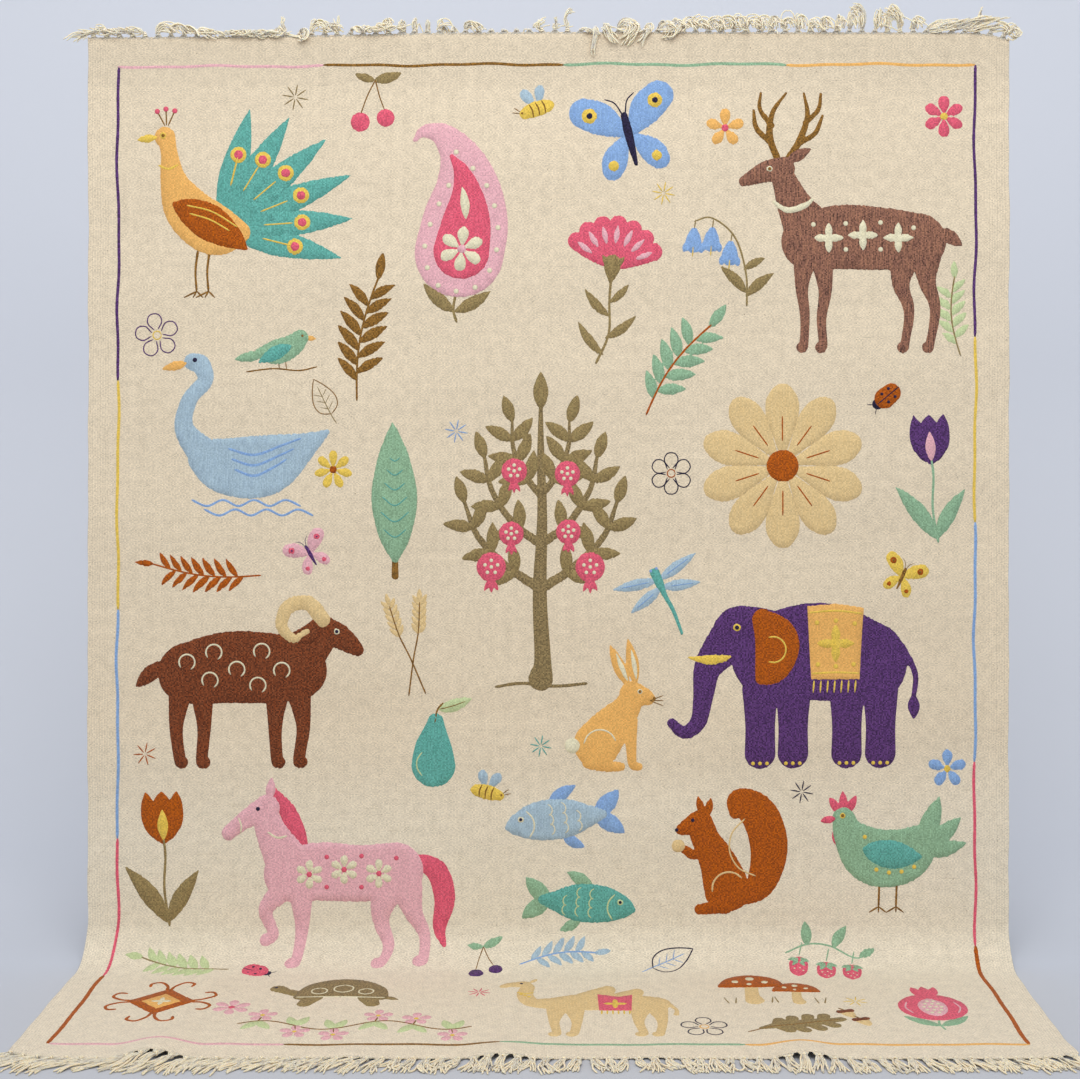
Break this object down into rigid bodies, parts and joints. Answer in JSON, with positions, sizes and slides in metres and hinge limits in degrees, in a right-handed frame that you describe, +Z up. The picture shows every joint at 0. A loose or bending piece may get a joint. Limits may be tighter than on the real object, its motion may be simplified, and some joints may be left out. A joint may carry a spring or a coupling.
{
  "type": "embroidered kilim",
  "caption": "Large flat-woven fringed rug with a scattered folk embroidery, hung by its top edge and running out over the floor.",
  "frame": {"origin": "on the floor, under the middle of the whole object's box", "axes": "+Z up, +Y from the front end on the floor towards the hanging plane, +X along the width, to the right as seen from the front"},
  "size_m": [2.5146, 0.7134, 2.4887],
  "materials": {
    "kilim_weave": "matt undyed flat weave",
    "fringe_yarn": "matt soft plied yarn",
    "embroidery_wool": "matt heathered wool in several colours"
  },
  "bodies": {
    "root": {"kilim_cloth": "kilim_weave", "fringe_top": "fringe_yarn", "fringe_floor": "fringe_yarn"}
  },
  "joints": []
}
